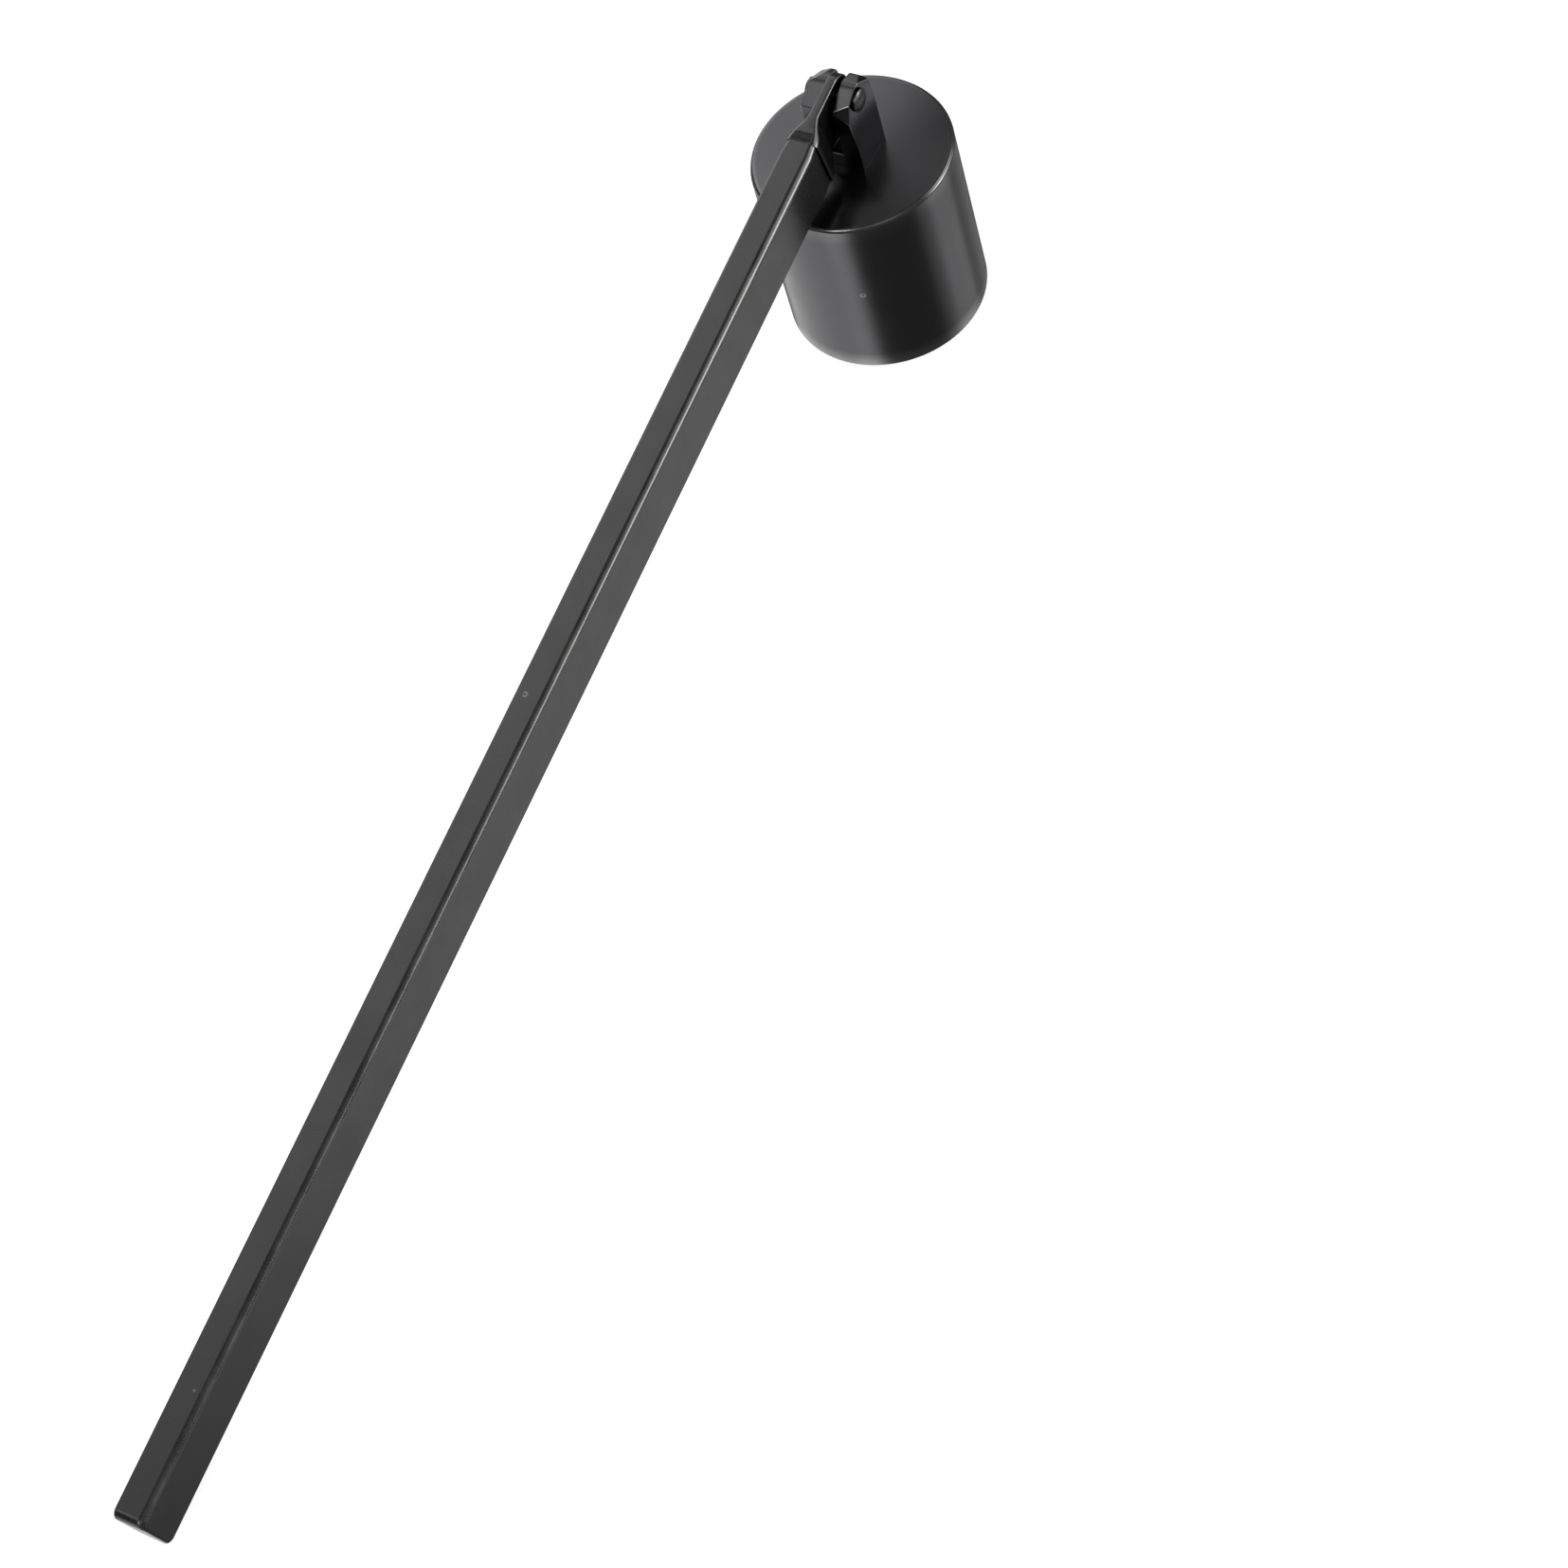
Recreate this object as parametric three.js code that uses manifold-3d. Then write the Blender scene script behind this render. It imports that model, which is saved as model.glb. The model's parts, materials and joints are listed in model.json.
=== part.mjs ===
// Candle snuffer: a turned-down cup on a square post, hinged to a flat steel handle.
// Millimetres, +Z up. The hinge axis runs along X, the handle runs along -Y and down to the table,
// and the origin is the middle of the whole object's footprint, on the surface it stands on.

import * as THREE from 'three';
import { mergeVertices } from 'three/addons/utils/BufferGeometryUtils.js';
import Module from 'manifold-3d';

const wasm = await Module();
wasm.setup();

// Cup
const CUP_RADIUS = 16;
const CUP_HEIGHT = 32.5;            // table to the edge of the top
const CUP_WALL = 1.2;
const CUP_CROWN = 1.0;              // rise of the domed top from its edge to its middle
const CUP_EDGE_ROUND = 0.6;
const CUP_MOUTH_ROUND = 0.25;       // on both edges of the flat rim that the cup stands on
const CUP_INNER_ROUND = 2;
const CUP_SEAT_RADIUS = 5.6;        // flat in the middle of the top, which the post stands on
const CUP_HOLE_RADIUS = 2.25;
const CUP_SEGMENTS = 84;

// Post with its two ears
const POST_WIDTH = 8.6;             // along the hinge axis
const POST_DEPTH = 7.2;
const SLOT_WIDTH = 2.3;
const SLOT_FLOOR = 9.4;             // hinge axis down to the floor of the slot
const EAR_RISE = 2.42;              // hinge axis up to the ridge of an ear
const EAR_RIDGE_START = 0.3;        // hinge axis back to the ridge's front line
const EAR_RIDGE_END = 0.9;          // hinge axis back to the ridge's back line
const EAR_SHOULDER = 1.72;          // hinge axis up to where the rounded back of an ear begins to level out
const EAR_BACK_FOOT = 0.6;
const HINGE_HEIGHT = 45.2;

// Flats ground on the ears by hand: the direction each one faces, and its distance from the hinge's middle.
// No two are alike, and the last one leans the right ear's side in.
const EAR_FLATS = [
  { facing: [0.296, -0.856, 0.423], distance: 3.29 },
  { facing: [-0.296, -0.856, 0.423], distance: 4.2 },
  { facing: [0.472, 0.383, 0.794], distance: 4.05 },
  { facing: [-0.472, 0.383, 0.794], distance: 3.6 },
  { facing: [0.9905, -0.09, 0.105], distance: 3.8 },
];
const GRIND_REACH = 20;

// Stud, washer and nut under the post
const STUD_RADIUS = 2;
const STUD_END_SPARE = 0.9;
const WASHER_RADIUS = 4.5;
const WASHER_THICKNESS = 0.8;
const NUT_ACROSS_FLATS = 7;
const NUT_HEIGHT = 3.2;
const THREAD_GAP = 0.06;

// Rivet
const RIVET_RADIUS = 1.3;
const RIVET_HEAD_RADIUS = 1.85;
const RIVET_HEAD_RISE = 0.5;
const RIVET_RIGHT_SEAT = 4.12;      // the right head sits lower, because that ear's side leans in
const EAR_HOLE_GAP = 0.05;
const EYE_HOLE_GAP = 0.08;

// Handle
const BAR_WIDTH = 5;                // along the hinge axis
const BAR_DEPTH = 10;
const BAR_LENGTH = 233.5;           // hinge axis to the free end
const BAR_DROP = 1.8;               // hinge axis down to the bar's middle line
const TONGUE_THICKNESS = 1.6;
const TONGUE_SHIFT = -0.15;         // the tongue lies a little off the middle of the slot
const TONGUE_END = 5.6;             // hinge axis to where the shoulders leave the tongue
const SHOULDER_END = 10.8;          // hinge axis to where the bar has its full width
const BELLY_START = 9;              // hinge axis to where the underside starts to rise to the eye
const END_ROUND = 0.8;

const ROUND_SEGMENTS = 40;
const CURVE_STEPS = 8;

// The bar's lower end corner touches the table, and that sets its slope.
const SEAT_HEIGHT = crownHeight(CUP_SEAT_RADIUS);
const SLOPE = handleSlope();

// The span along Y, from the handle's free end to the back of the cup, is centred on the origin.
const END_FACE_TOP = BAR_DEPTH / 2 - BAR_DROP - END_ROUND;
const HANDLE_REACH = BAR_LENGTH * Math.cos(SLOPE) + END_FACE_TOP * Math.sin(SLOPE);
const HINGE_Y = (HANDLE_REACH - CUP_RADIUS) / 2;

const darkPlate = { color: 0x4a4a4c, roughness: 0.32, metalness: 1 };
const bareSteel = { color: 0x8f8b84, roughness: 0.4, metalness: 1 };

function crownHeight(radius) {
  const edge = CUP_RADIUS - CUP_EDGE_ROUND;
  const sphere = (edge * edge + CUP_CROWN * CUP_CROWN) / (2 * CUP_CROWN);
  const centre = CUP_HEIGHT + CUP_CROWN - sphere;
  return centre + Math.sqrt(sphere * sphere - radius * radius);
}

function handleSlope() {
  let slope = 0;
  for (let i = 0; i < 40; i += 1) {
    const lowest = (BAR_DROP + BAR_DEPTH / 2) * Math.cos(slope);
    slope = Math.asin((HINGE_HEIGHT - lowest) / BAR_LENGTH);
  }
  return slope;
}

function toSolid(geometry) {
  const bare = geometry.clone();
  bare.deleteAttribute('normal');
  bare.deleteAttribute('uv');
  const merged = mergeVertices(bare, 1e-4);
  return new wasm.Manifold(new wasm.Mesh({
    numProp: 3,
    vertProperties: new Float32Array(merged.attributes.position.array),
    triVerts: new Uint32Array(merged.index.array),
  }));
}

function toGeometry(solid) {
  const mesh = solid.getMesh();
  const geometry = new THREE.BufferGeometry();
  geometry.setAttribute('position', new THREE.BufferAttribute(mesh.vertProperties, 3));
  geometry.setIndex(new THREE.BufferAttribute(mesh.triVerts, 1));
  geometry.computeVertexNormals();
  return geometry;
}

function subpart(name, geometry, finish) {
  const mesh = new THREE.Mesh(geometry, new THREE.MeshStandardMaterial(finish));
  mesh.name = name;
  return mesh;
}

// A rod along X, centred on the hinge axis.
function crossRod(radius, length) {
  return new THREE.CylinderGeometry(radius, radius, length, ROUND_SEGMENTS).rotateZ(Math.PI / 2);
}

// A rod along Z between two heights.
function uprightRod(radius, low, high, segments = ROUND_SEGMENTS) {
  const rod = new THREE.CylinderGeometry(radius, radius, high - low, segments);
  return rod.rotateX(Math.PI / 2).translate(0, 0, (low + high) / 2);
}

// A side view, drawn with Y to the right and Z up, made solid across the width.
function extrudeAcross(shape, width) {
  const geometry = new THREE.ExtrudeGeometry(shape, {
    depth: width, bevelEnabled: false, curveSegments: CURVE_STEPS,
  });
  const turn = new THREE.Matrix4().makeBasis(
    new THREE.Vector3(0, 1, 0),
    new THREE.Vector3(0, 0, 1),
    new THREE.Vector3(1, 0, 0),
  );
  return geometry.applyMatrix4(turn).translate(-width / 2, 0, 0);
}

// A ring turned about Z: the profile is a closed loop of radius and height.
function turnedRing(profile, segments) {
  const loop = profile.concat([profile[0]]);
  const points = loop.map(([radius, height]) => new THREE.Vector2(radius, height));
  return new THREE.LatheGeometry(points, segments).rotateX(Math.PI / 2);
}

// A block that fills the space beyond a plane, for grinding a flat.
function beyondPlane({ facing, distance }) {
  const block = new THREE.BoxGeometry(GRIND_REACH, GRIND_REACH, GRIND_REACH);
  block.translate(0, 0, distance + GRIND_REACH / 2);
  const up = new THREE.Vector3(0, 0, 1);
  const normal = new THREE.Vector3(...facing).normalize();
  return block.applyQuaternion(new THREE.Quaternion().setFromUnitVectors(up, normal));
}

function arcPoints(centreRadius, centreHeight, radius, from, to, steps) {
  const points = [];
  for (let i = 0; i <= steps; i += 1) {
    const angle = from + (to - from) * i / steps;
    points.push([centreRadius + radius * Math.cos(angle), centreHeight + radius * Math.sin(angle)]);
  }
  return points;
}

// The cup: a shell open at the bottom, with a low domed top and a flat seat with a hole in its middle.
function cup() {
  const edge = CUP_RADIUS - CUP_EDGE_ROUND;
  const inner = CUP_RADIUS - CUP_WALL;
  const quarter = Math.PI / 2;
  const crownSteps = 5;
  const outside = [[CUP_HOLE_RADIUS, SEAT_HEIGHT]];
  for (let i = 0; i < crownSteps; i += 1) {
    const radius = CUP_SEAT_RADIUS + (edge - CUP_SEAT_RADIUS) * i / crownSteps;
    outside.push([radius, crownHeight(radius)]);
  }
  outside.push(...arcPoints(edge, CUP_HEIGHT - CUP_EDGE_ROUND, CUP_EDGE_ROUND, quarter, 0, 5));
  const rim = CUP_MOUTH_ROUND;
  const mouth = [
    ...arcPoints(CUP_RADIUS - rim, rim, rim, 0, -quarter, 2),
    ...arcPoints(inner + rim, rim, rim, -quarter, -2 * quarter, 2),
  ];
  const corner = CUP_INNER_ROUND;
  const underside = arcPoints(inner - corner, CUP_HEIGHT - CUP_WALL - corner, corner, 0, quarter, 4);
  const ceiling = [
    [CUP_SEAT_RADIUS, SEAT_HEIGHT - CUP_WALL],
    [CUP_HOLE_RADIUS, SEAT_HEIGHT - CUP_WALL],
  ];
  const profile = outside.concat(mouth, underside, ceiling).reverse();
  return subpart('bell_cup', turnedRing(profile, CUP_SEGMENTS), darkPlate);
}

function post() {
  const half = POST_DEPTH / 2;
  const base = SEAT_HEIGHT - HINGE_HEIGHT;
  const side = new THREE.Shape();
  side.moveTo(-half, base);
  side.lineTo(half, base);
  side.lineTo(half, EAR_BACK_FOOT);
  side.quadraticCurveTo(half, EAR_SHOULDER, half * 0.8, EAR_SHOULDER + 0.28);
  side.lineTo(EAR_RIDGE_END, EAR_RISE);
  side.lineTo(EAR_RIDGE_START, EAR_RISE);
  side.lineTo(-half, 0);
  side.closePath();

  const slotHeight = SLOT_FLOOR + EAR_RISE + 1;
  const slot = new THREE.BoxGeometry(SLOT_WIDTH, POST_DEPTH + 2, slotHeight);
  slot.translate(0, 0, slotHeight / 2 - SLOT_FLOOR);

  const studEnd = base - CUP_WALL - WASHER_THICKNESS - NUT_HEIGHT - STUD_END_SPARE;
  const stud = uprightRod(STUD_RADIUS, studEnd, base + 1);
  const pinHole = crossRod(RIVET_RADIUS + EAR_HOLE_GAP, POST_WIDTH + 2);

  const block = toSolid(extrudeAcross(side, POST_WIDTH));
  const ground = EAR_FLATS.reduce((shape, flat) => shape.subtract(toSolid(beyondPlane(flat))), block);
  const solid = ground
    .subtract(toSolid(slot))
    .subtract(toSolid(pinHole))
    .add(toSolid(stud));
  const mesh = subpart('clevis_post', toGeometry(solid), darkPlate);
  mesh.position.z = HINGE_HEIGHT;
  return mesh;
}

function washer() {
  const top = SEAT_HEIGHT - CUP_WALL;
  const hole = STUD_RADIUS + 0.2;
  const profile = [
    [hole, top - WASHER_THICKNESS],
    [WASHER_RADIUS, top - WASHER_THICKNESS],
    [WASHER_RADIUS, top],
    [hole, top],
  ];
  return subpart('stud_washer', turnedRing(profile, ROUND_SEGMENTS), bareSteel);
}

function nut() {
  const top = SEAT_HEIGHT - CUP_WALL - WASHER_THICKNESS;
  const low = top - NUT_HEIGHT;
  const acrossCorners = NUT_ACROSS_FLATS / Math.cos(Math.PI / 6);
  const hexagon = uprightRod(acrossCorners / 2, low, top, 6);
  const hole = uprightRod(STUD_RADIUS + THREAD_GAP, low - 1, top + 1);
  return subpart('stud_nut', toGeometry(toSolid(hexagon).subtract(toSolid(hole))), bareSteel);
}

// The rivet: a shank through both ears and the eye, with a low round head at each end.
function rivet() {
  const sphere = (RIVET_HEAD_RADIUS ** 2 + RIVET_HEAD_RISE ** 2) / (2 * RIVET_HEAD_RISE);
  const reach = Math.asin(RIVET_HEAD_RADIUS / sphere);
  const headAt = (seat) => {
    const centre = seat + RIVET_HEAD_RISE - sphere;
    const rows = [[0, seat + RIVET_HEAD_RISE]];
    for (let i = 1; i <= CURVE_STEPS; i += 1) {
      const angle = reach * i / CURVE_STEPS;
      rows.push([sphere * Math.sin(angle), centre + sphere * Math.cos(angle)]);
    }
    return rows.concat([[RIVET_RADIUS, seat]]);
  };
  const right = headAt(RIVET_RIGHT_SEAT);
  const left = headAt(POST_WIDTH / 2).map(([radius, height]) => [radius, -height]);
  const outline = left.concat(right.reverse()).map(([radius, height]) => new THREE.Vector2(radius, height));
  const geometry = new THREE.LatheGeometry(outline, ROUND_SEGMENTS).rotateZ(-Math.PI / 2);
  const mesh = subpart('pivot_rivet', geometry, bareSteel);
  mesh.position.z = HINGE_HEIGHT;
  return mesh;
}

// Half the handle's width, and how far it lies off the middle, at a distance from the hinge axis.
function widthAt(distance) {
  const along = Math.min(Math.max((distance - TONGUE_END) / (SHOULDER_END - TONGUE_END), 0), 1);
  const eased = along * along * (3 - 2 * along);
  return {
    half: (TONGUE_THICKNESS + (BAR_WIDTH - TONGUE_THICKNESS) * eased) / 2,
    shift: TONGUE_SHIFT * (1 - eased),
  };
}

// The handle seen from above: a bar that narrows on both sides to a thin tongue.
function handlePlan() {
  const stations = [-BAR_DEPTH];
  for (let i = 0; i <= CURVE_STEPS; i += 1) {
    stations.push(TONGUE_END + (SHOULDER_END - TONGUE_END) * i / CURVE_STEPS);
  }
  stations.push(BAR_LENGTH + 5);
  const edge = (side) => stations.map((distance) => {
    const { half, shift } = widthAt(distance);
    return new THREE.Vector2(shift + side * half, -distance);
  });
  return new THREE.Shape(edge(-1).concat(edge(1).reverse()));
}

// The handle seen from the side: level top, round eye about the hinge axis, rounded free end.
function handleSide() {
  const top = BAR_DEPTH / 2 - BAR_DROP;
  const bottom = top - BAR_DEPTH;
  const side = new THREE.Shape();
  side.moveTo(0, top);
  side.lineTo(-BAR_LENGTH + END_ROUND, top);
  side.quadraticCurveTo(-BAR_LENGTH, top, -BAR_LENGTH, top - END_ROUND);
  side.lineTo(-BAR_LENGTH, bottom + END_ROUND);
  side.quadraticCurveTo(-BAR_LENGTH, bottom, -BAR_LENGTH + END_ROUND, bottom);
  side.lineTo(-BELLY_START, bottom);
  side.bezierCurveTo(-BELLY_START / 2, bottom, -BELLY_START / 2, -top, 0, -top);
  side.absarc(0, 0, top, -Math.PI / 2, Math.PI / 2, false);
  side.closePath();
  return side;
}

function handle() {
  const plan = new THREE.ExtrudeGeometry(handlePlan(), { depth: 3 * BAR_DEPTH, bevelEnabled: false });
  plan.translate(0, 0, -1.5 * BAR_DEPTH);
  const side = extrudeAcross(handleSide(), 2 * BAR_WIDTH);
  const hole = crossRod(RIVET_RADIUS + EYE_HOLE_GAP, 2 * BAR_WIDTH);
  const solid = toSolid(plan).intersect(toSolid(side)).subtract(toSolid(hole));
  return subpart('handle_bar', toGeometry(solid), darkPlate);
}

const snuffer = new THREE.Group();

const bell = new THREE.Group();
bell.add(cup(), post(), washer(), nut(), rivet());
bell.position.y = HINGE_Y;

const swingingHandle = new THREE.Group();
swingingHandle.add(handle());
swingingHandle.position.set(0, HINGE_Y, HINGE_HEIGHT);
swingingHandle.rotation.x = SLOPE;

snuffer.add(bell, swingingHandle);

export default snuffer;
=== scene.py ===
# %% [markdown]
# # A hinged candle snuffer
# A small steel cup hangs from a slotted post, and a rivet joins the post to a long flat bar.
# The whole thing is plated in satin black nickel, so almost everything the eye gets from it is reflection:
# the light and the rounded edges matter as much as the shapes.
# The engineering model is loaded first. It fixes every size and place, and the pieces made below take
# theirs from it.

# %% Load the engineering model
import json
import math

import bmesh
import bpy
from mathutils import Matrix, Vector, noise


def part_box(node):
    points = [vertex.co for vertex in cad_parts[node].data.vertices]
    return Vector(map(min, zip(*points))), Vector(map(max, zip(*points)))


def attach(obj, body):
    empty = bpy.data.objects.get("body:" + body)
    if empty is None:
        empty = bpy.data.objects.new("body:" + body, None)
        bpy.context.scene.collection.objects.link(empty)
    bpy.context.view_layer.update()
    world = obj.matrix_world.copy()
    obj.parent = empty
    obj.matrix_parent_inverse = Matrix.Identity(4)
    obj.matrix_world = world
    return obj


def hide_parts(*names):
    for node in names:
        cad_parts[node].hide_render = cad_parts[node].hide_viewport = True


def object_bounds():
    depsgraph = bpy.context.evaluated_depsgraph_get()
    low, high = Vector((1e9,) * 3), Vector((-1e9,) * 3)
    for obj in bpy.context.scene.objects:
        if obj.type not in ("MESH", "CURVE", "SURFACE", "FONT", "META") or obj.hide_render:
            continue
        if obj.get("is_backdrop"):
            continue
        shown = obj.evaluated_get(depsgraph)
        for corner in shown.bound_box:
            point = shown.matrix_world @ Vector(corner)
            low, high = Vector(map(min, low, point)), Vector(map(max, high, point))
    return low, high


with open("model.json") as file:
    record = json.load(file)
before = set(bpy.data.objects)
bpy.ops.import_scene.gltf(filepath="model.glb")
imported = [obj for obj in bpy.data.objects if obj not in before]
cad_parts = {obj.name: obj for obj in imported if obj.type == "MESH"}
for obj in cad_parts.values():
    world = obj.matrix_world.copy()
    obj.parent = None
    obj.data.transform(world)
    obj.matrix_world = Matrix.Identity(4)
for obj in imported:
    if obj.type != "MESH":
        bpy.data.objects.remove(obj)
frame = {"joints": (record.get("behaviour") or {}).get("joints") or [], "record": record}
CAD_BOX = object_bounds()
MM = 0.001
print("model box", [tuple(round(v, 4) for v in corner) for corner in CAD_BOX])

# %% [markdown]
# The hinge and the handle's slope are read from the model's own joint and faces. Most pieces are easiest to
# draw in millimetres with the hinge at zero, so two matrices carry them to their place: one for the upright
# cup and post, and one for the sloping bar.

# %% Where the hinge is
hinge = Vector(frame["joints"][0]["pos_m"])
mounts = {mount["name"]: mount for mount in frame["record"]["mounts"]}
bar_outwards = Vector(mounts["handle_end"]["axis"])
bar_up = Vector(mounts["handle_top"]["axis"])
slope = math.asin(-bar_outwards.z)
upright_place = Matrix.Translation(hinge) @ Matrix.Scale(MM, 4)
bar_place = Matrix.Translation(hinge) @ Matrix.Rotation(slope, 4, "X") @ Matrix.Scale(MM, 4)
print("hinge", tuple(round(v, 5) for v in hinge), "slope", round(math.degrees(slope), 2))

# %% [markdown]
# ## Camera
# A long lens from high on the right keeps the bar nearly straight-sided, with a little perspective left in
# its length. The camera is turned a third of a right angle to the left about its own axis, so the bar runs
# up the picture from the bottom corner.

# %% Camera
CAMERA_AZIMUTH = math.radians(43.899)
CAMERA_ELEVATION = math.radians(54.966)
CAMERA_ROLL = math.radians(20.351)
CAMERA_DISTANCE = 0.5416
CAMERA_AIM = Vector((0.03664, 0.00663, 0.02))
CAMERA_LENS = 87.975


def place_camera():
    level = math.cos(CAMERA_ELEVATION)
    back = Vector((
        math.sin(CAMERA_AZIMUTH) * level,
        -math.cos(CAMERA_AZIMUTH) * level,
        math.sin(CAMERA_ELEVATION),
    ))
    data = bpy.data.cameras.new("camera")
    data.lens = CAMERA_LENS
    data.sensor_width = 36
    data.clip_start = 0.01
    data.clip_end = 20
    camera = bpy.data.objects.new("camera", data)
    bpy.context.scene.collection.objects.link(camera)
    facing = (-back).to_track_quat("-Z", "Y").to_matrix().to_4x4()
    turned = facing @ Matrix.Rotation(-CAMERA_ROLL, 4, "Z")
    camera.matrix_world = Matrix.Translation(CAMERA_AIM + back * CAMERA_DISTANCE) @ turned
    bpy.context.scene.camera = camera
    return camera


camera = place_camera()
print("camera at", tuple(round(v, 4) for v in camera.matrix_world.translation))

# %% [markdown]
# ## One helper for nodes
# Every material and the studio are node trees. This adds one node, sets its properties, and fills or links
# its inputs.

# %% Node helper


def add_node(tree, kind, inputs=None, **settings):
    node = tree.nodes.new(kind)
    for name, value in settings.items():
        setattr(node, name, value)
    for socket, value in (inputs or {}).items():
        if isinstance(value, bpy.types.NodeSocket):
            tree.links.new(value, node.inputs[socket])
        else:
            node.inputs[socket].default_value = value
    return node


def linear(hex_colour):
    """An sRGB hex colour as the linear red, green, blue and alpha that shaders use."""
    channels = [int(hex_colour[i:i + 2], 16) / 255 for i in (1, 3, 5)]
    return [c / 12.92 if c <= 0.04045 else ((c + 0.055) / 1.055) ** 2.4 for c in channels] + [1.0]


# %% [markdown]
# ## Studio
# Dark plated metal shows only what stands round it. Large soft boxes stand on the left and behind. Narrow
# ones on the right draw the edges and the streak on the cup, and small ones high in front light the slopes
# of the ears. The low ones stand for the light that a white table throws back up.
# The boxes are painted into the world as soft discs of light, each with a direction, a spread and a
# strength. Lamps could do the same, but discs in the world never throw hard shadows and never get in shot.
# The camera itself sees a plain pale surround.

# %% Soft boxes in the world
# name: (azimuth from +X, elevation, half angle of the bright part, soft margin, strength), angles in degrees
SOFT_BOXES = {
    "overhead_left": (163, 54, 13, 6, 1.12),
    "overhead_right": (113, 55, 3, 9, 0.5),
    "back": (138, 30, 15, 9, 1.35),
    "low_right": (40, -47, 8, 10, 0.85),
    "low_right_front": (15, -40, 6, 10, 0.45),
    "low_right_back": (88, -50, 6, 12, 0.25),
    "right_strip": (27, 3, 6, 12, 4.8),
    "right_high": (44, 36, 10, 14, 1.3),
    "low_left": (-144, -45, 35, 11, 1.15),
    "low_front_strip": (-95, -45, 4, 9, 0.45),
    "front_high": (-91, 36, 7, 9, 3.0),
    "front_left": (-138, 52, 5, 6, 1.6),
    "front_fill": (-145, 60, 3, 6, 0.6),
    "front_right": (-38, 44, 6, 10, 0.4),
    "low_right_strip": (50, -6, 4, 8, 1.2),
    "low_back": (148, -18, 14, 12, 0.9),
    "black_card": (132, 63, 7, 8, -0.11),   # below zero, as it takes light away
}
AMBIENT = 0.13
SURROUND = linear("#fcfcfc")


def direction(azimuth, elevation):
    a, e = math.radians(azimuth), math.radians(elevation)
    return Vector((math.cos(a) * math.cos(e), math.sin(a) * math.cos(e), math.sin(e)))


def build_world():
    world = bpy.data.worlds.new("studio")
    bpy.context.scene.world = world
    world.use_nodes = True
    tree = world.node_tree
    tree.nodes.clear()
    where = add_node(tree, "ShaderNodeTexCoord").outputs["Generated"]
    total = None
    for azimuth, elevation, half_angle, margin, strength in SOFT_BOXES.values():
        facing = add_node(
            tree, "ShaderNodeVectorMath", {0: where, 1: direction(azimuth, elevation)},
            operation="DOT_PRODUCT",
        )
        disc = add_node(
            tree, "ShaderNodeMapRange", {
                "Value": facing.outputs["Value"],
                "From Min": math.cos(math.radians(half_angle + margin)),
                "From Max": math.cos(math.radians(half_angle)),
                "To Min": 0.0,
                "To Max": strength,
            }, interpolation_type="SMOOTHSTEP",
        )
        so_far = AMBIENT if total is None else total.outputs[0]
        total = add_node(tree, "ShaderNodeMath", {0: disc.outputs[0], 1: so_far}, operation="ADD")
    boxes = add_node(tree, "ShaderNodeBackground", {"Strength": total.outputs[0]})
    plain = add_node(tree, "ShaderNodeBackground", {"Color": SURROUND, "Strength": 1.0})
    path = add_node(tree, "ShaderNodeLightPath")
    seen = add_node(tree, "ShaderNodeMixShader", {
        0: path.outputs["Is Camera Ray"], 1: boxes.outputs[0], 2: plain.outputs[0],
    })
    add_node(tree, "ShaderNodeOutputWorld", {"Surface": seen.outputs[0]})


build_world()
bpy.context.scene.view_settings.view_transform = "Standard"
print("soft boxes:", ", ".join(SOFT_BOXES))

# %% [markdown]
# The floor is a plain pale sheet. It glows, so that it comes out nearly white. It is hidden from the metal's
# reflections, because the low soft boxes already stand for the light that it throws back.

# %% Floor
FLOOR_SIZE = 3.0
FLOOR_GLOW = 0.82


def lay_floor():
    mesh = bpy.data.meshes.new("floor")
    half = FLOOR_SIZE / 2
    corners = [(-half, -half, 0), (half, -half, 0), (half, half, 0), (-half, half, 0)]
    mesh.from_pydata(corners, [], [(0, 1, 2, 3)])
    floor = bpy.data.objects.new("floor", mesh)
    bpy.context.scene.collection.objects.link(floor)
    paper = bpy.data.materials.new("pale_floor")
    paper.use_nodes = True
    shader = paper.node_tree.nodes["Principled BSDF"]
    shader.inputs["Base Color"].default_value = linear("#f2f2f2")
    shader.inputs["Roughness"].default_value = 0.9
    shader.inputs["Specular IOR Level"].default_value = 0.1
    shader.inputs["Emission Color"].default_value = (1, 1, 1, 1)
    shader.inputs["Emission Strength"].default_value = FLOOR_GLOW
    mesh.materials.append(paper)
    floor.visible_glossy = False
    floor.visible_diffuse = False
    floor.visible_shadow = False
    floor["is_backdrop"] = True
    return floor


floor = lay_floor()
print(floor.name, FLOOR_SIZE, "m across")
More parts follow.
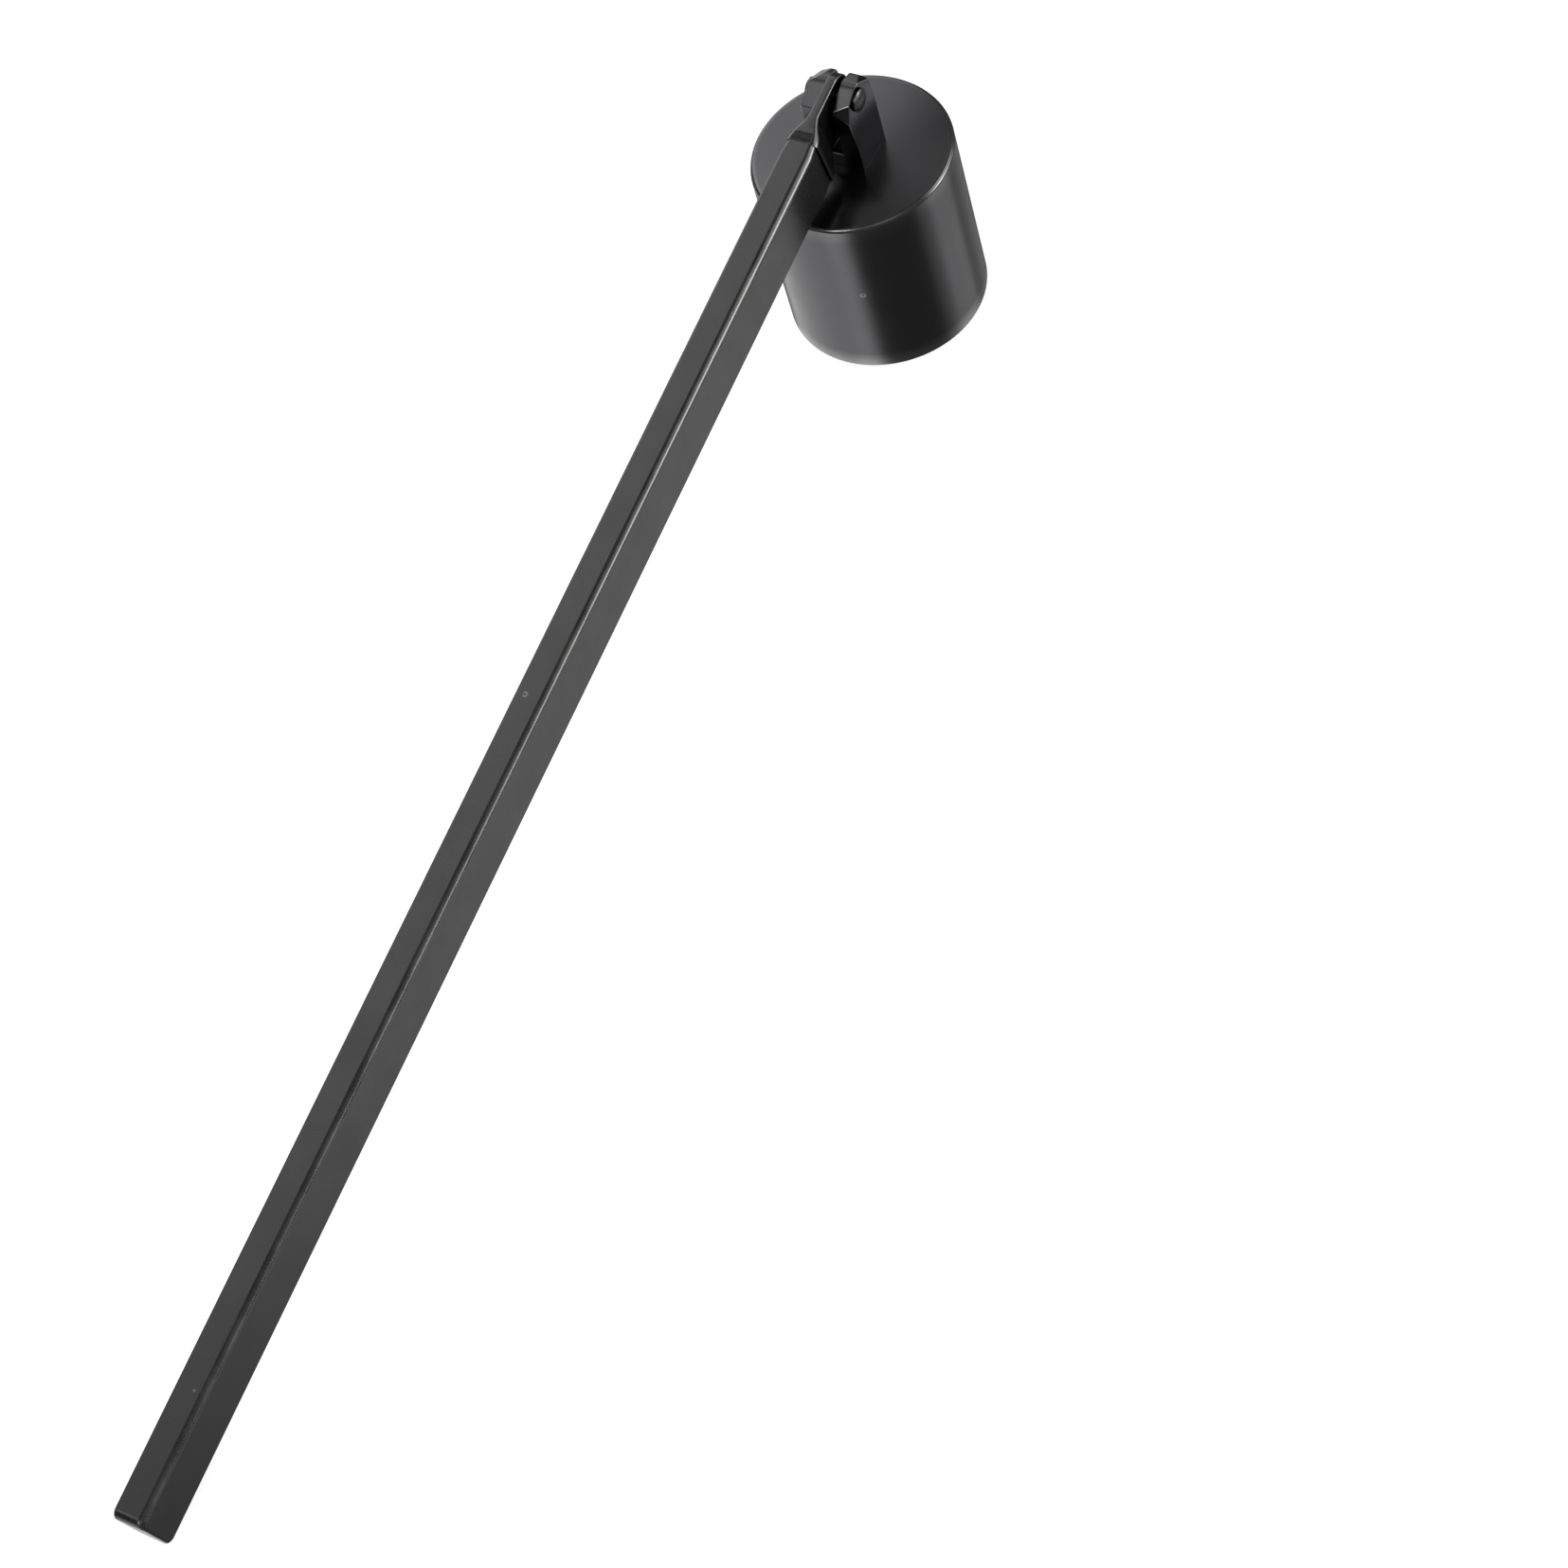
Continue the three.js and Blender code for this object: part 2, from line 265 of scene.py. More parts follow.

# %% [markdown]
# ## Finishes
# **Satin black nickel plate.** The steel is bead-blasted or tumbled, then plated with a thin black nickel.
# It is a true metal with a very dark reflection: about a tenth of the light comes back straight on, and much
# more at a glancing angle. Blasting leaves marks of about a tenth of a millimetre that spread each
# reflection softly, and a lathe leaves rings as fine as that. Both are drawn about three times as coarse, so
# that they show. Handling leaves faint patches a few millimetres wide that are a shade glossier. On the
# edges the plate is burnished and a little thinner, and their colour is made lighter still as a painted
# highlight, so the thin bright lines along the edges come partly from colour. Three small chips, two on the
# bar and one on the cup's side, are where it has been knocked in use.
# Edge wear and this painted edge highlight could come from the renderer's own curvature reading, but that
# changes with the mesh. Each mesh below carries its own value for both instead, worked out where the piece
# is made, so it lasts in an export.

# %% Black nickel
GRAIN_MM = 0.28                # blasting marks, drawn coarse
RING_MM = 0.35                 # rings from the lathe, drawn coarse
PATCH_MM = 7.0                 # patches rubbed by handling
CHIP_LINE_MM = 0.2             # half the width of the bare line round a chip
CHIP_RAGGED_MM = 0.5           # how far apart the breaks in that line are
RELIEF = 0.02 * MM             # height of the marks in the bump
PATCH_ROUGHNESS = 0.03         # how far a patch is above or below the middle roughness
GRAIN_ROUGHNESS = 0.06


def scale_for(size_mm):
    """A noise texture's scale, in turns per metre, for marks of this size."""
    return 1000.0 / size_mm


def chip_mask(tree, place, chips):
    """A ragged ring of bare metal round each chip, given as (point in metres, radius in millimetres)."""
    ragged = add_node(tree, "ShaderNodeTexNoise", {
        "Vector": place, "Scale": scale_for(CHIP_RAGGED_MM), "Detail": 2.0,
    })
    torn = add_node(tree, "ShaderNodeMapRange", {
        "Value": ragged.outputs["Fac"], "From Min": 0.36, "From Max": 0.5,
    })
    total = 0.0
    for point, radius in chips:
        away = add_node(tree, "ShaderNodeVectorMath", {0: place, 1: point}, operation="DISTANCE")
        past = add_node(tree, "ShaderNodeMath", {
            0: away.outputs["Value"], 1: radius * MM,
        }, operation="SUBTRACT")
        off_ring = add_node(tree, "ShaderNodeMath", {0: past.outputs[0]}, operation="ABSOLUTE")
        ring = add_node(tree, "ShaderNodeMapRange", {
            "Value": off_ring.outputs[0], "From Max": CHIP_LINE_MM * MM, "To Min": 1.0, "To Max": 0.0,
        })
        total = add_node(tree, "ShaderNodeMath", {
            0: ring.outputs[0], 1: torn.outputs[0], 2: total,
        }, operation="MULTIPLY_ADD").outputs[0]
    return total


def black_nickel(name, plate, worn_and_highlit, roughness, turned=False, chips=()):
    """Plated metal. turned adds the fine rings that polishing on a lathe leaves round an upright axis."""
    material = bpy.data.materials.new(name)
    material.use_nodes = True
    tree = material.node_tree
    shader = tree.nodes["Principled BSDF"]
    place = add_node(tree, "ShaderNodeTexCoord").outputs["Object"]
    patches = add_node(tree, "ShaderNodeTexNoise", {
        "Vector": place, "Scale": scale_for(PATCH_MM), "Detail": 4.0, "Roughness": 0.6,
    })
    grain = add_node(tree, "ShaderNodeTexNoise", {
        "Vector": place, "Scale": scale_for(GRAIN_MM), "Detail": 2.0, "Roughness": 0.5,
    })
    wear_and_highlight = add_node(tree, "ShaderNodeAttribute", attribute_name="wear_and_highlight").outputs["Fac"]
    broken = add_node(tree, "ShaderNodeMapRange", {
        "Value": patches.outputs["Fac"], "From Min": 0.3, "From Max": 0.7, "To Min": 0.45, "To Max": 1.0,
    })
    # Edges and chips take the lighter edge colour: real wear, and on the edges also a painted highlight.
    rubbed_and_highlit = add_node(tree, "ShaderNodeMath", {
        0: wear_and_highlight, 1: broken.outputs[0], 2: chip_mask(tree, place, chips),
    }, operation="MULTIPLY_ADD", use_clamp=True)
    colour = add_node(tree, "ShaderNodeMix", {
        "Factor": rubbed_and_highlit.outputs[0], "A": linear(plate), "B": linear(worn_and_highlit),
    }, data_type="RGBA")
    tree.links.new(colour.outputs["Result"], shader.inputs["Base Color"])
    gloss = add_node(tree, "ShaderNodeMapRange", {
        "Value": patches.outputs["Fac"], "From Min": 0.3, "From Max": 0.7,
        "To Min": roughness - PATCH_ROUGHNESS, "To Max": roughness + PATCH_ROUGHNESS,
    })
    grainy = add_node(tree, "ShaderNodeMath", {
        0: grain.outputs["Fac"], 1: GRAIN_ROUGHNESS, 2: gloss.outputs[0],
    }, operation="MULTIPLY_ADD")
    tree.links.new(grainy.outputs[0], shader.inputs["Roughness"])
    shader.inputs["Metallic"].default_value = 1.0
    height = grain.outputs["Fac"]
    if turned:
        rings = add_node(tree, "ShaderNodeMapping", {"Vector": place, "Scale": (0.02, 0.02, 1.0)})
        lathe = add_node(tree, "ShaderNodeTexNoise", {
            "Vector": rings.outputs[0], "Scale": scale_for(RING_MM), "Detail": 3.0,
        })
        height = add_node(tree, "ShaderNodeMath", {
            0: lathe.outputs["Fac"], 1: height,
        }, operation="ADD").outputs[0]
    bump = add_node(tree, "ShaderNodeBump", {"Strength": 0.05, "Distance": RELIEF, "Height": height})
    tree.links.new(bump.outputs[0], shader.inputs["Normal"])
    return material


cup_chips = [(upright_place @ Vector((6.2, -14.75, -27.9)), 0.38)]
bar_chips = [
    (bar_place @ Vector((-0.82, -106.2, 3.2)), 0.32),
    (bar_place @ Vector((0.65, -214.0, 3.2)), 0.1),
]
# The second colour of each finish is its edge colour, lighter than worn plate alone: partly a painted
# highlight.
cup_plate = black_nickel(
    "black_nickel_on_spun_cup", "#5a5a5c", "#a4a2a0", 0.21, turned=True, chips=cup_chips,
)
bar_plate = black_nickel("black_nickel_on_bar", "#5a5a5b", "#9a9896", 0.25, chips=bar_chips)
post_plate = black_nickel("black_nickel_on_post", "#57575a", "#b0aeac", 0.19)
print("plated finishes:", cup_plate.name, bar_plate.name, post_plate.name)

# %% [markdown]
# **Rivet steel.** The rivet was set after plating, so the hammer cracked the plate on both heads. Flecks
# about 0.3 mm across have come away and show warm bare steel, most of them round the rim.
# **Zinc.** The washer and nut are bought parts: dull zinc, a pale blue-grey metal with a crystal mottle.

# %% Rivet and hardware finishes
FLECK_MM = 0.3
RIM_LOOSE = 0.34               # how much more plate has come away at the rim than in the middle
CRYSTAL_MM = 0.5
CLOUD_MM = 1.5


def cracked_plate(name):
    material = black_nickel(name, "#555556", "#75716d", 0.3)
    tree = material.node_tree
    shader = tree.nodes["Principled BSDF"]
    plated = shader.inputs["Base Color"].links[0].from_socket
    place = add_node(tree, "ShaderNodeTexCoord").outputs["Object"]
    flecks = add_node(tree, "ShaderNodeTexNoise", {
        "Vector": place, "Scale": scale_for(FLECK_MM), "Detail": 3.0, "Roughness": 0.7,
    })
    wear_and_highlight = add_node(tree, "ShaderNodeAttribute", attribute_name="wear_and_highlight").outputs["Fac"]
    loose = add_node(tree, "ShaderNodeMath", {
        0: wear_and_highlight, 1: RIM_LOOSE, 2: flecks.outputs["Fac"],
    }, operation="MULTIPLY_ADD")
    bare = add_node(tree, "ShaderNodeMapRange", {
        "Value": loose.outputs[0], "From Min": 0.83, "From Max": 0.87,
    })
    colour = add_node(tree, "ShaderNodeMix", {
        "Factor": bare.outputs[0], "A": plated, "B": linear("#aaa59a"),
    }, data_type="RGBA")
    tree.links.new(colour.outputs["Result"], shader.inputs["Base Color"])
    return material


def zinc_plate(name):
    material = bpy.data.materials.new(name)
    material.use_nodes = True
    tree = material.node_tree
    shader = tree.nodes["Principled BSDF"]
    place = add_node(tree, "ShaderNodeTexCoord").outputs["Object"]
    crystals = add_node(tree, "ShaderNodeTexVoronoi", {"Vector": place, "Scale": scale_for(CRYSTAL_MM)})
    cloud = add_node(tree, "ShaderNodeTexNoise", {
        "Vector": place, "Scale": scale_for(CLOUD_MM), "Detail": 5.0,
    })
    colour = add_node(tree, "ShaderNodeMix", {
        "Factor": cloud.outputs["Fac"], "A": linear("#8f9296"), "B": linear("#b9bbbd"),
    }, data_type="RGBA")
    tree.links.new(colour.outputs["Result"], shader.inputs["Base Color"])
    dull = add_node(tree, "ShaderNodeMapRange", {
        "Value": crystals.outputs["Distance"], "To Min": 0.34, "To Max": 0.52,
    })
    tree.links.new(dull.outputs[0], shader.inputs["Roughness"])
    shader.inputs["Metallic"].default_value = 1.0
    bump = add_node(tree, "ShaderNodeBump", {
        "Strength": 0.15, "Distance": RELIEF, "Height": crystals.outputs["Distance"],
    })
    tree.links.new(bump.outputs[0], shader.inputs["Normal"])
    return material


rivet_steel = cracked_plate("black_nickel_cracked_on_rivet")
zinc = zinc_plate("dull_zinc_plate")
print("other finishes:", rivet_steel.name, zinc.name)

# %% [markdown]
# ## Making a piece
# Each piece is drawn in millimetres as a list of points and faces, with a value from 0 to 1 at each
# point for wear and the painted edge highlight. This turns the list into a mesh in metres at its place,
# shades it smooth except at real corners, gives it its finish, parents it to its body and hides the model
# node it stands for.

# %% Piece helper
SHARP_ANGLE = math.radians(32)


def make_piece(name, points, faces, place, material, body, node, wear_and_highlight=None):
    mesh = bpy.data.meshes.new(name)
    mesh.from_pydata([place @ Vector(p) for p in points], [], faces)
    values = wear_and_highlight or [0.0] * len(points)
    mesh.attributes.new("wear_and_highlight", "FLOAT", "POINT").data.foreach_set("value", values)
    return finish_piece(name, mesh, material, body, node)


def finish_piece(name, mesh, material, body, node):
    mesh.materials.append(material)
    mesh.validate()
    tidy = bmesh.new()
    tidy.from_mesh(mesh)
    bmesh.ops.recalc_face_normals(tidy, faces=tidy.faces)
    tidy.to_mesh(mesh)
    open_edges = sum(1 for edge in tidy.edges if len(edge.link_faces) != 2)
    tidy.free()
    mesh.shade_smooth()
    mesh.set_sharp_from_angle(angle=SHARP_ANGLE)
    piece = bpy.data.objects.new(name, mesh)
    bpy.context.scene.collection.objects.link(piece)
    even = piece.modifiers.new("even_normals", "WEIGHTED_NORMAL")
    even.keep_sharp = True
    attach(piece, body)
    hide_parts(node)
    print(name, len(mesh.polygons), "faces,", open_edges, "open edges")
    return piece


def arc(centre, radius, start, end, steps):
    """Points on an arc, from start to end in degrees, with both ends."""
    angles = [math.radians(start + (end - start) * i / steps) for i in range(steps + 1)]
    return [(centre[0] + radius * math.cos(a), centre[1] + radius * math.sin(a)) for a in angles]


def revolve(profile, segments):
    """Turns a closed loop of (radius, height, wear and painted highlight) about the upright axis."""
    points, wear_and_highlight, faces = [], [], []
    rows = len(profile)
    for turn in range(segments):
        angle = math.tau * turn / segments
        for radius, height, worn_and_highlit in profile:
            points.append((radius * math.cos(angle), radius * math.sin(angle), height))
            wear_and_highlight.append(worn_and_highlit)
    for turn in range(segments):
        here, there = turn * rows, (turn + 1) % segments * rows
        for row in range(rows):
            after = (row + 1) % rows
            faces.append((here + row, here + after, there + after, there + row))
    return points, faces, wear_and_highlight


def smooth_step(t):
    t = min(max(t, 0.0), 1.0)
    return t * t * (3 - 2 * t)


# %% [markdown]
# ## Cup
# The real cup is pressed or turned from steel sheet a little over a millimetre thick: straight sides, a top
# that rises in a very shallow dome, and a soft edge where they meet. A turned shape is one outline spun
# round an axis, so the cup is made that way rather than with primitives. The dome and the edge round are
# tangent arcs: a break there would show as a line in the reflections. The inside follows the outside, one
# wall thickness in, and shows from below.

# %% Cup
CUP_WALL = 1.2
CUP_CROWN = 1.0                # rise of the dome above the edge of the top
CUP_SIDE_HEIGHT = 32.5         # table to the edge of the top
CUP_DOME_MARGIN = 0.6          # the dome's rise is measured from this far inside the side
CUP_EDGE_ROUND = 0.75
CUP_MOUTH_ROUND = 0.35
CUP_INNER_ROUND = 2.0
CUP_SEAT_RADIUS = 5.6          # flat under the post
CUP_HOLE_RADIUS = 2.25
CUP_SEGMENTS = 216

cup_low, cup_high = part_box("bell_cup")
CUP_RADIUS = (cup_high.x - cup_low.x) / 2 / MM
cup_place = Matrix.Translation((hinge.x, hinge.y, cup_low.z)) @ Matrix.Scale(MM, 4)


def dome_radius():
    edge = CUP_RADIUS - CUP_DOME_MARGIN
    return (edge ** 2 + CUP_CROWN ** 2) / (2 * CUP_CROWN)


def dome(sphere, centre, rows, start, end):
    """Points of a sphere seen side on, from one radius to another."""
    steps = [start + (end - start) * i / rows for i in range(rows)]
    return [(r, centre + math.sqrt(sphere ** 2 - r ** 2)) for r in steps]


def cup_profile():
    """The closed outline of half the cup as (radius, height, wear and painted highlight), and the post
    seat's height.
    """
    sphere = dome_radius()
    centre = CUP_SIDE_HEIGHT + CUP_CROWN - sphere
    seat = centre + math.sqrt(sphere ** 2 - CUP_SEAT_RADIUS ** 2)
    round_radius = CUP_RADIUS - CUP_EDGE_ROUND
    round_height = centre + math.sqrt((sphere - CUP_EDGE_ROUND) ** 2 - round_radius ** 2)
    lean = math.degrees(math.asin(round_radius / (sphere - CUP_EDGE_ROUND)))
    dome_end = round_radius + CUP_EDGE_ROUND * math.sin(math.radians(lean))
    outline = [(CUP_HOLE_RADIUS, seat, 0.0), (CUP_SEAT_RADIUS - 0.3, seat, 0.0)]
    outline += [(r, z, 0.0) for r, z in dome(sphere, centre, 24, CUP_SEAT_RADIUS, dome_end)]
    edge = arc((round_radius, round_height), CUP_EDGE_ROUND, 90 - lean, 0, 10)
    # The edge round is marked worn most in its middle, and its lighter colour there paints a highlight on
    # the rim.
    outline += [(r, z, math.sin(math.pi * (i + 1) / 12)) for i, (r, z) in enumerate(edge)]
    side_rows = 12
    side_low = CUP_MOUTH_ROUND
    for i in range(1, side_rows):
        outline.append((CUP_RADIUS, round_height + (side_low - round_height) * i / side_rows, 0.0))
    inner = CUP_RADIUS - CUP_WALL
    outline += [(r, z, 0.8) for r, z in arc((CUP_RADIUS - side_low, side_low), side_low, 0, -90, 5)]
    outline += [(r, z, 0.8) for r, z in arc((inner + side_low, side_low), side_low, -90, -180, 5)]
    under = sphere - CUP_WALL
    corner_radius = inner - CUP_INNER_ROUND
    corner_height = centre + math.sqrt((under - CUP_INNER_ROUND) ** 2 - corner_radius ** 2)
    under_lean = math.degrees(math.asin(corner_radius / (under - CUP_INNER_ROUND)))
    for i in range(1, side_rows):
        outline.append((inner, side_low + (corner_height - side_low) * i / side_rows, 0.0))
    corner = arc((corner_radius, corner_height), CUP_INNER_ROUND, 0, 90 - under_lean, 8)
    outline += [(r, z, 0.0) for r, z in corner]
    ceiling_start = corner[-1][0]
    ceiling = dome(under, centre, 12, ceiling_start, CUP_SEAT_RADIUS)
    outline += [(r, z, 0.0) for r, z in ceiling[1:]]
    outline += [(CUP_SEAT_RADIUS, seat - CUP_WALL, 0.0), (CUP_HOLE_RADIUS, seat - CUP_WALL, 0.0)]
    return outline, seat


cup_outline, SEAT_HEIGHT = cup_profile()
cup_points, cup_faces, cup_wear_and_highlight = revolve(cup_outline, CUP_SEGMENTS)
cup = make_piece(
    "cup", cup_points, cup_faces, cup_place, cup_plate,
    "bell", "bell_cup", cup_wear_and_highlight,
)
print("cup radius", round(CUP_RADIUS, 2), "seat at", round(SEAT_HEIGHT, 2), "mm")

# %% [markdown]
# ## Handle
# A length of flat steel bar on edge. One end is milled from both sides to a thin tongue with sloping
# shoulders, then rounded to an eye round the rivet. The other end is sawn and softened on a belt. The long
# edges are rounded, the upper right one most, and its curve catches the one bright line that runs the length
# of the bar. The side outline comes first, as matching points on the top and bottom edges.

# %% Handle outline
BAR_WIDTH = 5.0
BAR_DEPTH = 10.0
BAR_TOP = 3.2                  # hinge axis up to the top edge
BAR_LENGTH = 233.5             # hinge axis to the free end
TONGUE_THICKNESS = 1.6
TONGUE_SHIFT = -0.15           # the tongue lies a little off the middle of the slot
TONGUE_END = 5.6               # hinge axis to where the shoulders leave the tongue
SHOULDER_END = 10.8            # hinge axis to where the bar has its full width
BELLY_START = 9.0              # hinge axis to where the underside starts to rise to the eye
EDGE_ROUND = 1.05              # the upper right edge, rolled most
SLIM_ROUND = 0.45              # the other three long edges
TONGUE_ROUND = 0.3
END_ROUND = 1.35
EDGE_STEPS = 9
BAR_BOTTOM = BAR_TOP - BAR_DEPTH


def thickness_at(distance):
    """Half thickness, sideways shift and how far along the shoulder, from 0 to 1."""
    eased = smooth_step((distance - TONGUE_END) / (SHOULDER_END - TONGUE_END))
    half = (TONGUE_THICKNESS + (BAR_WIDTH - TONGUE_THICKNESS) * eased) / 2
    return half, TONGUE_SHIFT * (1 - eased), eased


def edge_radius(side, rise, eased):
    rolled = max(rise, 0.0) if side > 0 else 0.0
    full = SLIM_ROUND + (EDGE_ROUND - SLIM_ROUND) * rolled
    return TONGUE_ROUND + (full - TONGUE_ROUND) * eased


def underside_at(distance):
    return BAR_BOTTOM + (-BAR_TOP - BAR_BOTTOM) * smooth_step(1 - distance / BELLY_START)


def spaced(start, end, gap):
    count = max(1, round(abs(end - start) / gap))
    return [start + (end - start) * i / count for i in range(count)]


def handle_outline():
    """Pairs of points, one on the top and one on the bottom, and the point at the back of the eye.

    A point is (distance, height, outward distance, outward height).
    """
    pairs = []
    for i in range(9):
        turn = math.radians(90 * i / 8)
        reach, rise = math.cos(turn), math.sin(turn)
        distance = BAR_LENGTH - END_ROUND + END_ROUND * reach
        pairs.append((
            (distance, BAR_TOP - END_ROUND + END_ROUND * rise, reach, rise),
            (distance, BAR_BOTTOM + END_ROUND - END_ROUND * rise, reach, -rise),
        ))
    stations = spaced(BAR_LENGTH - END_ROUND, BELLY_START, 4.0)[1:]
    stations += spaced(BELLY_START, SHOULDER_END, 0.5) + spaced(SHOULDER_END, TONGUE_END, 0.2)
    stations += spaced(TONGUE_END, 0.0, 0.4)
    step = 0.01
    for distance in stations:
        slope = (underside_at(distance + step) - underside_at(distance - step)) / (2 * step)
        size = math.hypot(slope, 1)
        pairs.append((
            (distance, BAR_TOP, 0.0, 1.0),
            (distance, underside_at(distance), slope / size, -1 / size),
        ))
    for i in range(24):
        turn = math.radians(90 * i / 24)
        reach, rise = -math.sin(turn), math.cos(turn)
        pairs.append((
            (BAR_TOP * reach, BAR_TOP * rise, reach, rise),
            (BAR_TOP * reach, -BAR_TOP * rise, reach, -rise),
        ))
    back = (-BAR_TOP, 0.0, -1.0, 0.0)
    return pairs, back


print("bar", BAR_WIDTH, "by", BAR_DEPTH, "mm,", len(handle_outline()[0]), "pairs of points")

# %% [markdown]
# The outline then becomes a solid. Rings of points roll over each long edge to the side faces, and their
# radius shrinks with the thickness towards the tongue.

# %% Handle mesh


def handle_mesh():
    pairs, back = handle_outline()
    loop = [top for top, bottom in pairs] + [back] + [bottom for top, bottom in reversed(pairs)]
    count = len(loop)
    points, wear_and_highlight, faces = [], [], []
    rings = {}
    for side in (-1, 1):
        for ring in range(EDGE_STEPS + 1):
            roll = math.radians(90 * ring / EDGE_STEPS)
            rings[side, ring] = len(points)
            for distance, height, reach, rise in loop:
                half, shift, eased = thickness_at(distance)
                radius = edge_radius(side, rise, eased)
                inset = radius * (1 - math.cos(roll))
                across = shift + side * (half - radius + radius * math.sin(roll))
                points.append((across, -(distance - inset * reach), height - inset * rise))
                # Wear peaks halfway round each edge roll, where the lighter edge colour also paints a
                # highlight line.
                wear_and_highlight.append(math.sin(2 * roll))
    for i in range(count):
        after = (i + 1) % count
        faces.append((rings[-1, 0] + i, rings[-1, 0] + after, rings[1, 0] + after, rings[1, 0] + i))
        for side in (-1, 1):
            for ring in range(EDGE_STEPS):
                near, far = rings[side, ring], rings[side, ring + 1]
                faces.append((near + i, near + after, far + after, far + i))
    for side in (-1, 1):
        edge = rings[side, EDGE_STEPS]
        for i in range(count // 2 - 1):
            faces.append((edge + i, edge + i + 1, edge + count - 2 - i, edge + count - 1 - i))
        middle = count // 2
        faces.append((edge + middle - 1, edge + middle, edge + middle + 1))
    return points, faces, wear_and_highlight


# %% [markdown]
# Holes and slots are cut with the exact solver. The result of each cut is read back as a plain mesh, so no
# piece keeps a modifier that needs its cutter.

# %% Cutting
def cut(mesh, cutter_mesh):
    """Cuts one mesh out of another and returns the result as a new mesh."""
    target = bpy.data.objects.new("target", mesh)
    cutter = bpy.data.objects.new("cutter", cutter_mesh)
    for part in (target, cutter):
        bpy.context.scene.collection.objects.link(part)
    knife = target.modifiers.new("cut", "BOOLEAN")
    knife.operation = "DIFFERENCE"
    knife.solver = "EXACT"
    knife.object = cutter
    graph = bpy.context.evaluated_depsgraph_get()
    result = bpy.data.meshes.new_from_object(target.evaluated_get(graph))
    bpy.data.objects.remove(target)
    bpy.data.objects.remove(cutter)
    return result


def cross_rod(profile, segments=64):
    """A closed rod along the hinge axis, from (radius, x) pairs."""
    shape = bmesh.new()
    rows = []
    for radius, x in profile:
        turns = [math.tau * i / segments for i in range(segments)]
        rows.append([shape.verts.new((x, radius * math.cos(a), radius * math.sin(a))) for a in turns])
    for low, high in zip(rows, rows[1:]):
        for i in range(segments):
            shape.faces.new((low[i], low[(i + 1) % segments], high[(i + 1) % segments], high[i]))
    shape.faces.new(rows[0])
    shape.faces.new(rows[-1])
    bmesh.ops.recalc_face_normals(shape, faces=shape.faces)
    mesh = bpy.data.meshes.new("rod")
    shape.to_mesh(mesh)
    shape.free()
    return mesh


def plain_mesh(points, faces, wear_and_highlight):
    mesh = bpy.data.meshes.new("plain")
    mesh.from_pydata([Vector(p) for p in points], [], faces)
    mesh.attributes.new("wear_and_highlight", "FLOAT", "POINT").data.foreach_set("value", wear_and_highlight)
    shape = bmesh.new()
    shape.from_mesh(mesh)
    bmesh.ops.recalc_face_normals(shape, faces=shape.faces)
    shape.to_mesh(mesh)
    shape.free()
    return mesh


# %% [markdown]
# The eye is drilled through the tongue, with a small chamfer on both sides, and the handle is complete.

# %% Handle
EYE_HOLE_RADIUS = 1.38
HOLE_CHAMFER = 0.12
tongue_faces = [TONGUE_SHIFT + side * TONGUE_THICKNESS / 2 for side in (-1, 1)]
eye_cutter = cross_rod([
    (EYE_HOLE_RADIUS + 2 * HOLE_CHAMFER, tongue_faces[0] - HOLE_CHAMFER),
    (EYE_HOLE_RADIUS, tongue_faces[0] + HOLE_CHAMFER),
    (EYE_HOLE_RADIUS, tongue_faces[1] - HOLE_CHAMFER),
    (EYE_HOLE_RADIUS + 2 * HOLE_CHAMFER, tongue_faces[1] + HOLE_CHAMFER),
])
handle_shape = cut(plain_mesh(*handle_mesh()), eye_cutter)
handle_shape.transform(bar_place)
handle = finish_piece("handle", handle_shape, bar_plate, "handle", "handle_bar")

# %% [markdown]
# ## Post
# The post that the cup hangs from is a short square bar. A saw cut makes its two ears, and their tops are
# ground by hand: a long slope at the front, a small flat on each outer corner, and one ear's side leaning in
# a little, so no two flats are quite alike. It is made in the same order: the side outline is pushed out
# across the width, a plane cuts each flat, the slot and the rivet hole are cut, and a bevel eases the edges.

# %% Post sizes
POST_WIDTH = 8.6
POST_DEPTH = 7.2
SLOT_WIDTH = 2.3
SLOT_FLOOR = 9.4               # hinge axis down to the floor of the slot
EAR_PEAK = 2.42                # hinge axis up to the ridge of an ear
POST_EASE = 0.13               # width of the eased edges
POST_CORNER = math.radians(24)  # edges that turn more than this are eased
POST_BASE = SEAT_HEIGHT - (hinge.z - cup_low.z) / MM

# Ground flats on the ears: (direction the flat faces, distance from the hinge's middle)
FLATS = [
    ((0.296, -0.856, 0.423), 3.29),
    ((-0.296, -0.856, 0.423), 4.2),
    ((0.472, 0.383, 0.794), 4.05),
    ((-0.472, 0.383, 0.794), 3.6),
    ((0.9905, -0.09, 0.105), 3.8),
]


def post_outline():
    """The post from the side, as (y, z) points, from the back of its foot round to the front."""
    half = POST_DEPTH / 2
    back = [(half, POST_BASE), (half, 0.6), (half - 0.12, 1.3), (half - 0.35, 1.72), (2.9, 2.0), (1.7, 2.27)]
    ridge = [(0.9, EAR_PEAK), (0.45, 2.36), (0.0, 2.18), (-0.45, 1.92)]
    front = [(-1.0, 1.588), (-half + 0.12, 0.0), (-half, -0.3), (-half, POST_BASE)]
    return back + ridge + front


print("post", POST_WIDTH, "by", POST_DEPTH, "mm,", len(FLATS), "ground flats")

# %% [markdown]
# The flats are cut from the blank before the slot and the hole, as on a bench grinder. Each new edge is then
# eased by a small bevel, and the bevel's own faces carry the wear and the painted edge highlight.

# %% Post


